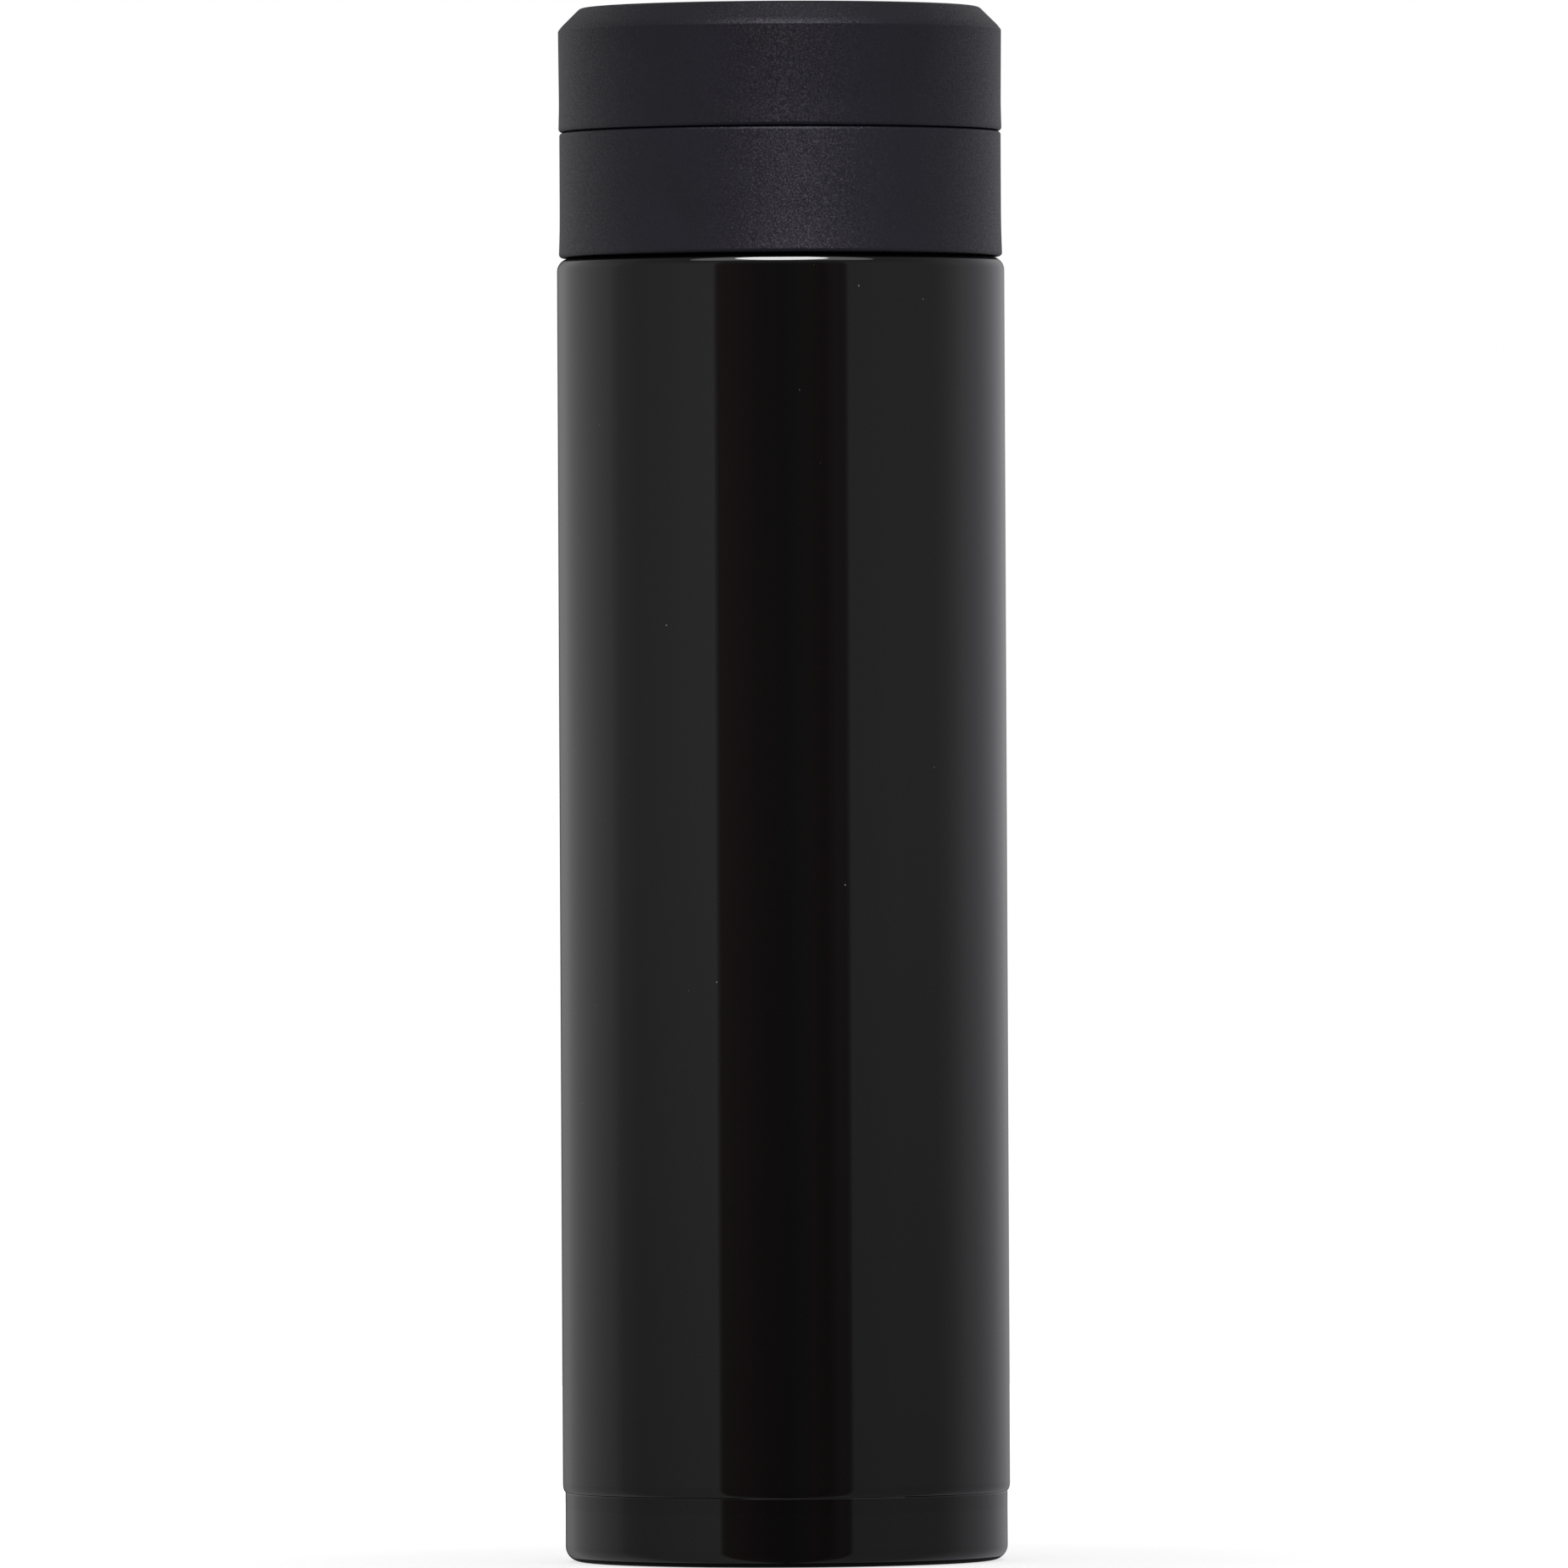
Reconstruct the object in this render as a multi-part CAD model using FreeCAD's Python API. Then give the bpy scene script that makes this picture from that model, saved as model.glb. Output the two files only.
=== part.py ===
"""Slim vacuum flask: screw cap, drinking collar and a double-walled steel body.

Millimetres, +Z up. The origin is the centre of the base, on the surface the flask stands on.
All but the getter and its clip are turned about Z. A section is a list of corners
(radius, height, corner radius). A pressed steel piece is the path of its outer face, traced
from the bottom or the axis outwards and up, with its wall laid on the inner side.
"""
import FreeCAD, Part
import math
import os

from FreeCAD import Vector

# ---- outside sizes ----
body_radius = 32.5
shoulder_height = 189.0
collar_height = 18.05
cap_height = 17.98
base_cup_height = 10.0

# ---- seams and steps between the outside pieces ----
collar_body_gap = 0.35
cap_collar_gap = 0.22
base_seam_gap = 0.3
collar_step = 0.4
cap_step = 0.3
base_cup_step = 0.38

# ---- steel walls and the spaces between them ----
shell_wall = 0.4
vessel_wall = 0.3
bottom_wall = 0.5
vacuum_gap = 2.5
neck_gap = 0.8
vessel_bottom_height = 6.5
vessel_shoulder_gap = 2.2
vessel_shoulder_fall = 5.3
floor_flat = 4.6
floor_slope = 6.0
floor_dome = 1.2
base_rim_width = 6.7
base_recess = 1.2
base_cup_neck = 1.8
outer_bottom_gap = 0.2
outer_bottom_flange = 4.5

# ---- bends and edges ----
shoulder_fillet = 1.9
neck_root_fillet = 0.8
mouth_bend = 0.3
bottom_roll = 1.6
bottom_roll_depth = 0.49
base_corner = 2.2
base_bend = 0.8
base_seam_edge = 0.3
base_joggle_rise = 0.5
outer_bottom_bend = 1.2
vessel_bend = 3.0
vessel_corner = 5.0
floor_bend = 6.0
cap_chamfer_in = 3.2
cap_chamfer_down = 3.35
cap_chamfer_lower_edge = 0.8
cap_chamfer_upper_edge = 1.0
seam_edge = 0.35
collar_flare = 0.15
collar_flare_height = 4.0
collar_lower_edge = 0.65
lip_outer_round = 1.1
lip_inner_round = 0.8
plug_edge = 1.2
moulded_edge = 0.3

# ---- plastic ----
cap_wall = 2.0
band_wall = 2.0
band_roof = 2.4
liner_wall = 1.6
skirt_wall = 1.8
spout_wall = 2.5
spout_step = 0.3
spout_roof = 1.8
spout_mouth_depth = 5.1
spout_skirt_lift = 0.85
plug_depth = 4.5
plug_clearance = 0.8
foam_cover = 2.5
weld_flange = 1.5

# ---- seals ----
collar_gasket_thickness = 1.6
collar_gasket_drop = 2.6
collar_gasket_lip = 0.8
cap_gasket_thickness = 1.5
cap_gasket_drop = 2.6

# ---- clearances ----
thread_clearance = 0.3
collar_top_clearance = 0.6
press_clearance = 0.1
weld_clearance = 0.05
seal_clearance = 0.1
foam_clearance = 0.2

# ---- threads: right-handed trapezium ridges ----
thread_depth = 0.8
ridge_root = 0.25
neck_thread_lead = 4.0
neck_ridge_base = 1.7
neck_ridge_crest = 0.9
neck_thread_angle = 20.0
neck_thread_top_gap = 0.75
neck_thread_low_gap = 1.0
cap_thread_lead = 8.0
cap_thread_starts = 2
cap_ridge_base = 1.5
cap_ridge_crest = 0.8
cap_thread_angle = 65.0
cap_thread_top_gap = 0.15
cap_thread_low_gap = 0.3

# ---- vacuum furniture ----
foil_wall = 0.08
foil_gap = 0.2
foil_margin = 2.0
seal_hole_radius = 1.5
seal_bead_radius = 3.5
seal_bead_height = 0.7
seal_bead_edge = 0.6
getter_radius = 4.0
getter_height = 2.5
getter_offset = 15.0
getter_headroom = 2.1
clip_wall = 0.3
clip_width = 5.0
clip_foot = 3.0
clip_bend = 0.4

# ---- levels, from the base up to the shoulder and from the shoulder up to the cap ----
outer_bottom_level = base_cup_height + base_cup_neck + outer_bottom_gap
clip_top = outer_bottom_level + bottom_wall + getter_height + press_clearance + clip_wall
vessel_floor = clip_top + getter_headroom
vessel_seam_height = vessel_floor + vessel_bottom_height
collar_bottom = shoulder_height + collar_body_gap
collar_top = collar_bottom + collar_height
roof_top = collar_top - band_roof
roof_underside = roof_top - spout_roof
rim_height = roof_underside - collar_gasket_thickness
skirt_bottom = collar_bottom + spout_skirt_lift
cap_bottom = collar_top + cap_collar_gap
cap_top = cap_bottom + cap_height
cap_inside = cap_top - cap_wall
liner_roof_top = cap_inside - foam_cover
liner_roof = liner_roof_top - liner_wall
lip_height = liner_roof - cap_gasket_thickness
plug_bottom = lip_height - plug_depth
liner_bottom = collar_top + collar_top_clearance

# ---- radii, each worked out from the one outside it ----
base_cup_radius = body_radius - base_cup_step
base_recess_radius = base_cup_radius - base_rim_width
vessel_radius = body_radius - shell_wall - vacuum_gap
floor_foot_radius = vessel_radius - vessel_corner - floor_flat
cap_radius = body_radius - cap_step
collar_radius = body_radius - collar_step
skirt_radius = collar_radius - band_wall - press_clearance
skirt_bore = skirt_radius - skirt_wall
neck_radius = skirt_bore - thread_clearance - thread_depth
vessel_neck_radius = neck_radius - shell_wall - neck_gap
mouth_radius = vessel_neck_radius - vessel_wall
spout_mouth_radius = mouth_radius - 2 * seal_clearance - collar_gasket_lip
spout_radius = spout_mouth_radius + spout_step
spout_bore = spout_radius - spout_wall
liner_bore = spout_radius + thread_depth + thread_clearance
liner_radius = liner_bore + skirt_wall
plug_radius = spout_bore - plug_clearance

# ---- threads: each fills the height it has, and an inner ridge bears up against the outer one ----
neck_thread_drop = (neck_ridge_base + neck_ridge_crest) / 2 + thread_clearance
neck_thread_start = skirt_bottom + neck_thread_low_gap + neck_ridge_base / 2 + neck_thread_drop
neck_thread_end = rim_height - vessel_wall - neck_thread_top_gap - neck_ridge_base / 2
neck_thread_turns = (neck_thread_end - neck_thread_start) / neck_thread_lead
cap_thread_drop = (cap_ridge_base + cap_ridge_crest) / 2 + thread_clearance
cap_thread_start = liner_bottom + cap_thread_low_gap + cap_ridge_base / 2 + cap_thread_drop
cap_thread_end = lip_height - lip_outer_round - cap_thread_top_gap - cap_ridge_base / 2
cap_thread_turns = (cap_thread_end - cap_thread_start) / cap_thread_lead


def offset_path(path, distance):
    """The path moved to its left by distance, with its bends kept concentric."""
    runs = []
    for start, end in zip(path[:-1], path[1:]):
        length = math.hypot(end[0] - start[0], end[1] - start[1])
        along = ((end[0] - start[0]) / length, (end[1] - start[1]) / length)
        moved_start = (start[0] - along[1] * distance, start[1] + along[0] * distance)
        moved_end = (end[0] - along[1] * distance, end[1] + along[0] * distance)
        runs.append((moved_start, moved_end, along))
    moved = [runs[0][0]]
    for corner, before, after in zip(path[1:-1], runs[:-1], runs[1:]):
        turn = before[2][0] * after[2][1] - before[2][1] * after[2][0]
        gap = (after[0][0] - before[0][0], after[0][1] - before[0][1])
        reach = (gap[0] * after[2][1] - gap[1] * after[2][0]) / turn
        bend = corner[2] - math.copysign(distance, turn)
        point = (before[0][0] + before[2][0] * reach, before[0][1] + before[2][1] * reach)
        moved.append((point[0], point[1], max(bend, 0.0)))
    moved.append(runs[-1][1])
    return moved


def outline(corners):
    """A closed wire in the XZ plane through the corners, each rounded by its own radius."""
    points = [Vector(corner[0], 0, corner[1]) for corner in corners]
    bends = [corner[2] if len(corner) > 2 else 0.0 for corner in corners]
    arcs = []
    for index, point in enumerate(points):
        arriving = (point - points[index - 1]).normalize()
        leaving = (points[(index + 1) % len(points)] - point).normalize()
        half_turn = arriving.getAngle(leaving) / 2
        reach = bends[index] * math.tan(half_turn)
        start = point - arriving * reach
        end = point + leaving * reach
        middle = point
        if reach > 0:
            inward = (leaving - arriving).normalize()
            middle = point + inward * bends[index] * (1 / math.cos(half_turn) - 1)
        arcs.append((start, middle, end))
    edges = []
    for index, (start, middle, end) in enumerate(arcs):
        last_end = arcs[index - 1][2]
        if last_end.distanceToPoint(start) > 1e-6:
            edges.append(Part.LineSegment(last_end, start).toShape())
        if start.distanceToPoint(end) > 1e-6:
            edges.append(Part.Arc(start, middle, end).toShape())
    return Part.Wire(edges)


def turned(corners):
    """The solid that the closed section makes when it is turned once about Z."""
    return Part.Face(outline(corners)).revolve(Vector(0, 0, 0), Vector(0, 0, 1), 360)


def pressed(path, wall):
    """The closed section of sheet metal whose outer face follows the path."""
    return path + offset_path(path, wall)[::-1]


def thread_ridge(wall_radius, outward, lead, turns, base, crest, start_height, start_angle):
    """One start of a right-handed thread: a trapezium swept along a helix, rooted in its wall."""
    side = 1 if outward else -1
    tip = wall_radius + side * thread_depth
    root = wall_radius - side * ridge_root
    root_half = base / 2 + (base - crest) / 2 * ridge_root / thread_depth
    profile = Part.makePolygon([
        Vector(root, 0, -root_half),
        Vector(tip, 0, -crest / 2),
        Vector(tip, 0, crest / 2),
        Vector(root, 0, root_half),
        Vector(root, 0, -root_half),
    ])
    helix = Part.makeHelix(lead, lead * turns, wall_radius)
    ridge = Part.Wire(helix.Edges).makePipeShell([profile], True, True)
    ridge.rotate(Vector(0, 0, 0), Vector(0, 0, 1), start_angle)
    ridge.translate(Vector(0, 0, start_height))
    return ridge


# ---- the steel body ----
def outer_shell():
    """Painted outer wall: rolled in at its foot, with a shoulder and a threaded neck."""
    wall = pressed([
        (body_radius - bottom_roll_depth, base_cup_height + weld_clearance),
        (body_radius, base_cup_height + weld_clearance + bottom_roll_depth, bottom_roll),
        (body_radius, shoulder_height, shoulder_fillet),
        (neck_radius, shoulder_height, neck_root_fillet),
        (neck_radius, rim_height - vessel_wall),
    ], shell_wall)
    ridge = thread_ridge(neck_radius, True, neck_thread_lead, neck_thread_turns, neck_ridge_base,
                         neck_ridge_crest, neck_thread_start, neck_thread_angle)
    return turned(wall).fuse(ridge)


def inner_vessel():
    """Inner wall, necked in and flanged out over the top of the neck, where it is welded."""
    bend_height = shoulder_height - vessel_shoulder_gap
    return turned(pressed([
        (vessel_radius, vessel_seam_height),
        (vessel_radius, bend_height - vessel_shoulder_fall, vessel_bend),
        (vessel_neck_radius, bend_height, vessel_bend),
        (vessel_neck_radius, rim_height - vessel_wall, mouth_bend),
        (neck_radius, rim_height - vessel_wall),
    ], vessel_wall))


def inner_bottom():
    """Domed pressing, butt welded to the inner wall."""
    return turned(pressed([
        (0, vessel_floor + floor_dome),
        (floor_foot_radius - floor_slope, vessel_floor + floor_dome, floor_bend),
        (floor_foot_radius, vessel_floor, floor_bend),
        (vessel_radius, vessel_floor, vessel_corner),
        (vessel_radius, vessel_seam_height),
    ], vessel_wall))


def outer_bottom():
    """Flanged disc welded inside the outer wall, with the evacuation hole at its centre."""
    flange_radius = body_radius - shell_wall - weld_clearance
    return turned(pressed([
        (seal_hole_radius, outer_bottom_level),
        (flange_radius, outer_bottom_level, outer_bottom_bend),
        (flange_radius, outer_bottom_level + outer_bottom_flange),
    ], bottom_wall))


def base_cup():
    """Painted foot, recessed under its middle, whose neck plugs into the rolled end of the wall."""
    neck = body_radius - bottom_roll_depth - shell_wall + weld_clearance
    return turned(pressed([
        (0, base_recess),
        (base_recess_radius, base_recess, base_bend),
        (base_recess_radius + base_recess, 0, base_bend),
        (base_cup_radius, 0, base_corner),
        (base_cup_radius, base_cup_height - base_seam_gap, base_seam_edge),
        (neck, base_cup_height - base_seam_gap + base_joggle_rise, base_seam_edge),
        (neck, base_cup_height + base_cup_neck),
    ], bottom_wall))


# ---- inside the vacuum ----
def sealing_bead():
    """Braze run into the evacuation hole, with a round head under the disc."""
    stem_radius = seal_hole_radius - weld_clearance
    return turned([
        (0, outer_bottom_level - seal_bead_height),
        (seal_bead_radius, outer_bottom_level - seal_bead_height, seal_bead_edge),
        (seal_bead_radius, outer_bottom_level),
        (stem_radius, outer_bottom_level),
        (stem_radius, outer_bottom_level + bottom_wall),
        (0, outer_bottom_level + bottom_wall),
    ])


def copper_foil():
    """Heat-reflecting wrap round the straight part of the inner wall."""
    inside = vessel_radius + foil_gap
    low = vessel_seam_height + foil_margin
    high = shoulder_height - vessel_shoulder_gap - vessel_shoulder_fall - foil_margin
    return turned([(inside, low), (inside + foil_wall, low), (inside + foil_wall, high), (inside, high)])


def getter():
    """Pellet that takes up stray gas, standing on the disc beside the sealed hole."""
    seat = Vector(getter_offset, 0, outer_bottom_level + bottom_wall)
    return Part.makeCylinder(getter_radius, getter_height, seat)


def getter_clip():
    """Spot-welded strap over the pellet."""
    seat = outer_bottom_level + bottom_wall
    leg = getter_radius + clip_wall + press_clearance
    strap = pressed([
        (leg + clip_foot, seat + clip_wall),
        (leg, seat + clip_wall, clip_bend),
        (leg, clip_top, clip_bend),
        (-leg, clip_top, clip_bend),
        (-leg, seat + clip_wall, clip_bend),
        (-leg - clip_foot, seat + clip_wall),
    ], clip_wall)
    clip = Part.Face(outline(strap)).extrude(Vector(0, clip_width, 0))
    clip.translate(Vector(getter_offset, -clip_width / 2, 0))
    return clip


# ---- the collar ----
def spout():
    """Drinking spout: a skirt that screws on the neck, and a threaded tube with a rounded lip."""
    body = turned([
        (spout_bore, rim_height - spout_mouth_depth, moulded_edge),
        (spout_mouth_radius, rim_height - spout_mouth_depth, moulded_edge),
        (spout_mouth_radius, roof_underside),
        (skirt_bore, roof_underside),
        (skirt_bore, skirt_bottom, moulded_edge),
        (skirt_radius, skirt_bottom, moulded_edge),
        (skirt_radius, roof_top, moulded_edge),
        (spout_radius, roof_top),
        (spout_radius, lip_height, lip_outer_round),
        (spout_bore, lip_height, lip_inner_round),
    ])
    ridges = [thread_ridge(skirt_bore, False, neck_thread_lead, neck_thread_turns, neck_ridge_base,
                           neck_ridge_crest, neck_thread_start - neck_thread_drop, neck_thread_angle)]
    for start in range(cap_thread_starts):
        angle = cap_thread_angle + start * 360 / cap_thread_starts
        ridges.append(thread_ridge(spout_radius, True, cap_thread_lead, cap_thread_turns, cap_ridge_base,
                                   cap_ridge_crest, cap_thread_start, angle))
    return body.fuse(ridges)


def collar_band():
    """Outer ring of the collar, flared a little at its lower edge, seated on the spout's roof."""
    inside = skirt_radius + press_clearance
    return turned([
        (inside, collar_bottom, moulded_edge),
        (collar_radius + collar_flare, collar_bottom, collar_lower_edge),
        (collar_radius, collar_bottom + collar_flare_height),
        (collar_radius, collar_top, seam_edge),
        (spout_radius + thread_clearance, collar_top, moulded_edge),
        (spout_radius + thread_clearance, roof_top),
        (inside, roof_top),
    ])


def collar_gasket():
    """Ring of L section between the steel rim and the spout's roof."""
    inside = spout_mouth_radius + seal_clearance
    return turned([
        (inside, rim_height - collar_gasket_drop),
        (mouth_radius - seal_clearance, rim_height - collar_gasket_drop, moulded_edge),
        (mouth_radius - seal_clearance, rim_height),
        (neck_radius + thread_clearance, rim_height),
        (neck_radius + thread_clearance, roof_underside),
        (inside, roof_underside),
    ])


# ---- the cap ----
def cap_shell():
    """Outer cover with a chamfered top edge."""
    return turned(pressed([
        (cap_radius, cap_bottom, seam_edge),
        (cap_radius, cap_top - cap_chamfer_down, cap_chamfer_lower_edge),
        (cap_radius - cap_chamfer_in, cap_top, cap_chamfer_upper_edge),
        (0, cap_top),
    ], cap_wall))


def cap_liner():
    """Threaded skirt, plug and weld flange of the cap, in one moulding."""
    flange = cap_radius - cap_wall - press_clearance
    body = turned([
        (0, plug_bottom),
        (plug_radius, plug_bottom, plug_edge),
        (plug_radius, liner_roof),
        (liner_bore, liner_roof),
        (liner_bore, liner_bottom, moulded_edge),
        (flange, liner_bottom, moulded_edge),
        (flange, liner_bottom + weld_flange),
        (liner_radius, liner_bottom + weld_flange, moulded_edge),
        (liner_radius, cap_inside),
        (liner_radius - liner_wall, cap_inside),
        (liner_radius - liner_wall, liner_roof_top),
        (plug_radius - liner_wall, liner_roof_top),
        (plug_radius - liner_wall, plug_bottom + liner_wall, moulded_edge),
        (0, plug_bottom + liner_wall),
    ])
    ridges = []
    for start in range(cap_thread_starts):
        angle = cap_thread_angle + start * 360 / cap_thread_starts
        ridges.append(thread_ridge(liner_bore, False, cap_thread_lead, cap_thread_turns, cap_ridge_base,
                                   cap_ridge_crest, cap_thread_start - cap_thread_drop, angle))
    return body.fuse(ridges)


def cap_foam():
    """Stepped foam puck that fills the plug and the space over the liner's roof."""
    stem = plug_radius - liner_wall - foam_clearance
    return turned([
        (0, plug_bottom + liner_wall),
        (stem, plug_bottom + liner_wall, plug_edge),
        (stem, liner_roof_top),
        (liner_radius - liner_wall - foam_clearance, liner_roof_top),
        (liner_radius - liner_wall - foam_clearance, cap_inside),
        (0, cap_inside),
    ])


def cap_gasket():
    """Ring of L section between the liner's roof and the drinking lip."""
    inside = plug_radius + seal_clearance
    return turned([
        (inside, lip_height - cap_gasket_drop),
        (spout_bore - seal_clearance, lip_height - cap_gasket_drop, moulded_edge),
        (spout_bore - seal_clearance, lip_height),
        (spout_radius + thread_clearance, lip_height, moulded_edge),
        (spout_radius + thread_clearance, liner_roof),
        (inside, liner_roof),
    ])


pieces = [
    outer_shell, inner_vessel, inner_bottom, outer_bottom, base_cup,
    sealing_bead, copper_foil, getter, getter_clip,
    spout, collar_band, collar_gasket,
    cap_shell, cap_liner, cap_foam, cap_gasket,
]

os.makedirs("parts", exist_ok=True)
for make in pieces:
    shape = make()
    if shape.ShapeType != "Solid":
        shape = shape.Solids[0]
    shape.exportStep(os.path.join("parts", make.__name__ + ".step"))
    box = shape.optimalBoundingBox()
    print(f"{make.__name__:14s} valid {shape.isValid()} volume {shape.Volume / 1000:8.3f} cm3"
          f"  z {box.ZMin:7.2f} to {box.ZMax:7.2f}  r {box.XMax:6.2f}")
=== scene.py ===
import math

import bpy
import numpy as np
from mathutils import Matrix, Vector


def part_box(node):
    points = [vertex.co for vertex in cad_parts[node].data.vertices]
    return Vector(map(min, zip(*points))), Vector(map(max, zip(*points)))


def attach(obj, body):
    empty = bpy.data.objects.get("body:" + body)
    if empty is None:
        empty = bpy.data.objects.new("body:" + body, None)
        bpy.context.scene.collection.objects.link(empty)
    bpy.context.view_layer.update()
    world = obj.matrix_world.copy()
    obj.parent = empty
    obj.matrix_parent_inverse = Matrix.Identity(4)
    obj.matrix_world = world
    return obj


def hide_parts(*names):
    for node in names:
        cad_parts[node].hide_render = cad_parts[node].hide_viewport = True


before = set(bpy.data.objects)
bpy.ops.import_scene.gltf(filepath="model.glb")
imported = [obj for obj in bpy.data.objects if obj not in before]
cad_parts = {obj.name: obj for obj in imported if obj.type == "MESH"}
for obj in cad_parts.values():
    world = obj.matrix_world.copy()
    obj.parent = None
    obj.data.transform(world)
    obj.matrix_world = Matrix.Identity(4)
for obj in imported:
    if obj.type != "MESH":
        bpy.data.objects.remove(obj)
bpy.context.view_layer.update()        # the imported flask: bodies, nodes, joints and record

# Slim vacuum flask. Lengths are in millimetres, except the lights', and go into the meshes in metres.
mm = 0.001
ringSteps = 256          # facets round each turned piece
arcStep = 6.0            # degrees of bend between two rings of a rounded corner
leastBend = 0.05         # no moulded or cut edge is sharper than this
sideShare = 0.45         # the most of a side that the least bend may use up
guardStep = 0.25         # the rings that guard an arc's shading lie no further from it
wallSlack = 0.02         # a ring this near to a wall's radius belongs to that wall
threadStep = 0.16        # height between the rings of a threaded wall
discSteps = 96           # corners of a studio disc


def reach(node):
    # outer radius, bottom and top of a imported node, in millimetres
    low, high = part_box(node)
    return high[0] / mm, low[2] / mm, high[2] / mm


capRadius, capBottom, capTop = reach("cap_shell")
flareRadius, collarBottom, collarTop = reach("collar_band")
bodyRadius, bodyFoot, neckTop = reach("outer_shell")
cupRadius, floorLevel, cupTop = reach("base_cup")
skirtRadius, skirtBottom, lipHeight = reach("spout")
vesselRadius, vesselSeam, rimHeight = reach("inner_vessel")
linerFlange, linerBottom, capInside = reach("cap_liner")
collarSealTop = reach("collar_gasket")[2]
capSealTop = reach("cap_gasket")[2]
print(f"frame: flask {capTop - floorLevel:.1f} mm tall, {2 * bodyRadius:.1f} mm across")


def offsetCorners(corners, wall):
    # the corner line moved to its left by wall: each side slides along its normal and meets the next one
    # again, and each bend shrinks or grows by wall so that both faces keep one centre
    points = np.array([corner[:2] for corner in corners], float)
    bends = np.array([corner[2] if len(corner) > 2 else 0.0 for corner in corners])
    along = np.diff(points, axis=0)
    along /= np.linalg.norm(along, axis=1)[:, None]
    normal = np.stack([-along[:, 1], along[:, 0]], axis=1)
    turn = along[:-1, 0] * along[1:, 1] - along[:-1, 1] * along[1:, 0]
    cosine = (along[:-1] * along[1:]).sum(axis=1)
    moved = points.copy()
    moved[0] += normal[0] * wall
    moved[-1] += normal[-1] * wall
    moved[1:-1] += (normal[:-1] + normal[1:]) * wall / (1 + cosine)[:, None]
    bends[1:-1] = np.maximum(bends[1:-1] - np.sign(turn) * wall, 0)
    return [(*point, bend) for point, bend in zip(moved.tolist(), bends.tolist())]


def roundedPath(corners, closed):
    # a line through corners (radius, height, bend): the arc that touches both sides replaces each corner,
    # and a guard point lies on each straight side, a chord or guardStep away, so that the smooth shading
    # turns in the arc alone
    count = len(corners)
    points = np.array([corner[:2] for corner in corners], float)
    line = []
    for index, corner in enumerate(corners):
        if not closed and index in (0, count - 1):
            line.append(points[index][None])
            continue
        arriving = points[index] - points[index - 1]
        leaving = points[(index + 1) % count] - points[index]
        room = sideShare * min(np.linalg.norm(arriving), np.linalg.norm(leaving))
        arriving /= np.linalg.norm(arriving)
        leaving /= np.linalg.norm(leaving)
        turn = math.atan2(arriving[0] * leaving[1] - arriving[1] * leaving[0], arriving @ leaving)
        asked = corner[2] if len(corner) > 2 else 0.0
        bend = max(asked, min(leastBend, room / math.tan(abs(turn) / 2)))
        steps = max(2, math.ceil(math.degrees(abs(turn)) / arcStep))
        tangent = bend * math.tan(abs(turn) / 2)
        side = math.copysign(1, turn)
        centre = points[index] - arriving * tangent + side * bend * np.array([-arriving[1], arriving[0]])
        first = math.atan2(arriving[1], arriving[0]) - side * math.pi / 2
        angles = first + np.linspace(0, turn, steps + 1)
        arc = centre + bend * np.stack([np.cos(angles), np.sin(angles)], axis=1)
        chord = min(2 * bend * math.sin(abs(turn) / steps / 2), guardStep)
        line.append(np.vstack([arc[0] - arriving * chord, arc, arc[-1] + leaving * chord]))
    return np.vstack(line)


def threadedPath(path, wallRadius):
    # the same line with rings every threadStep along its longest straight run on one wall, close enough
    # for a thread
    onWall = np.abs(path[:, 0] - wallRadius) < wallSlack
    sides = np.linalg.norm(np.diff(path, axis=0), axis=1)
    length = np.concatenate([[0], np.cumsum(sides)])
    run = int(np.argmax(sides * (onWall[:-1] & onWall[1:])))
    extra = np.arange(length[run] + threadStep, length[run + 1] - threadStep / 2, threadStep)
    stations = np.sort(np.concatenate([length, extra]))
    return np.stack([np.interp(stations, length, path[:, axis]) for axis in (0, 1)], axis=1)


def ridgeSwell(angle, height, thread):
    # how far a thread stands up, 0 to 1: a trapezium across the helix height = low + lead * turns, eased at
    # its corners by 3 x^2 - 2 x^3, which rises from nothing and dies away again over its run-out
    swell = np.zeros(np.broadcast(angle, height).shape)
    for start in range(thread["starts"]):
        first = math.radians(thread["angle"] + 360 * start / thread["starts"])
        turns = (angle - first) / (2 * math.pi)
        turns = turns + np.round((height - thread["low"]) / thread["lead"] - turns)
        across = np.abs(height - thread["low"] - thread["lead"] * turns)
        flank = np.clip((thread["base"] / 2 - across) / (thread["base"] - thread["crest"]) * 2, 0, 1)
        rise = np.clip(np.minimum(turns, thread["turns"] - turns) / thread["runOut"], 0, 1)
        swell = np.maximum(swell, flank ** 2 * (3 - 2 * flank) * rise ** 2 * (3 - 2 * rise))
    return swell


def addMesh(name, vertices, faces, body, nodes, materials, faceMaterial=None):
    # puts arrays of corners, in millimetres, and faces into one smooth piece that rides on its body
    mesh = bpy.data.meshes.new(name)
    mesh.from_pydata((vertices * mm).tolist(), [], faces)
    mesh.polygons.foreach_set("use_smooth", np.ones(len(mesh.polygons), bool))
    for material in materials:
        mesh.materials.append(material)
    if faceMaterial is not None:
        mesh.polygons.foreach_set("material_index", faceMaterial)
    mesh.update()
    piece = bpy.data.objects.new(name, mesh)
    bpy.context.scene.collection.objects.link(piece)
    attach(piece, body)
    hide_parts(*nodes)
    print(f"piece: {name}, {sum(len(face) - 2 for face in faces)} triangles")
    return piece


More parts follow.
